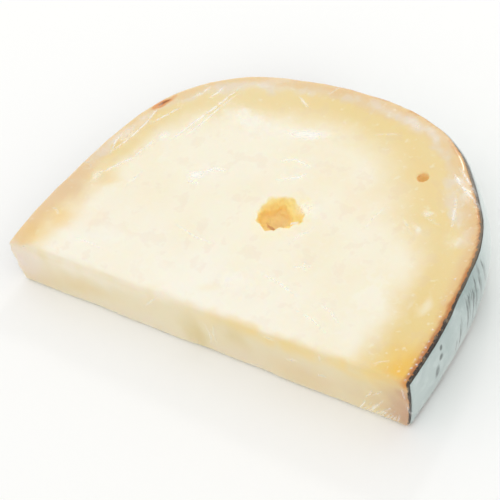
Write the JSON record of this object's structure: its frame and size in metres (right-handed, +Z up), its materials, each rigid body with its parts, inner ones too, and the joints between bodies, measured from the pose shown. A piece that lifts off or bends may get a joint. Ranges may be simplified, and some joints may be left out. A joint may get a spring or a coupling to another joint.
{
  "type": "half wheel of aged hard cheese",
  "caption": "Half wheel of aged hard cheese lying flat: pale paste with a torn hollow and a small eye, dark rind with a printed band.",
  "frame": {"origin": "under the middle of the piece's box, on the surface it lies on", "axes": "+X along the straight cut to its thicker end, +Y to the back of the curve, +Z up out of the wide cut face"},
  "size_m": [0.332, 0.2082, 0.0457],
  "materials": {
    "cheese": "cut hard cheese, pale cream paste darkening to tan and a dark brown rind, under clear cling film",
    "label": "pale blue-grey printed paper band, under clear cling film"
  },
  "bodies": {
    "root": {"cheese": "cheese", "label": "label"}
  },
  "joints": []
}
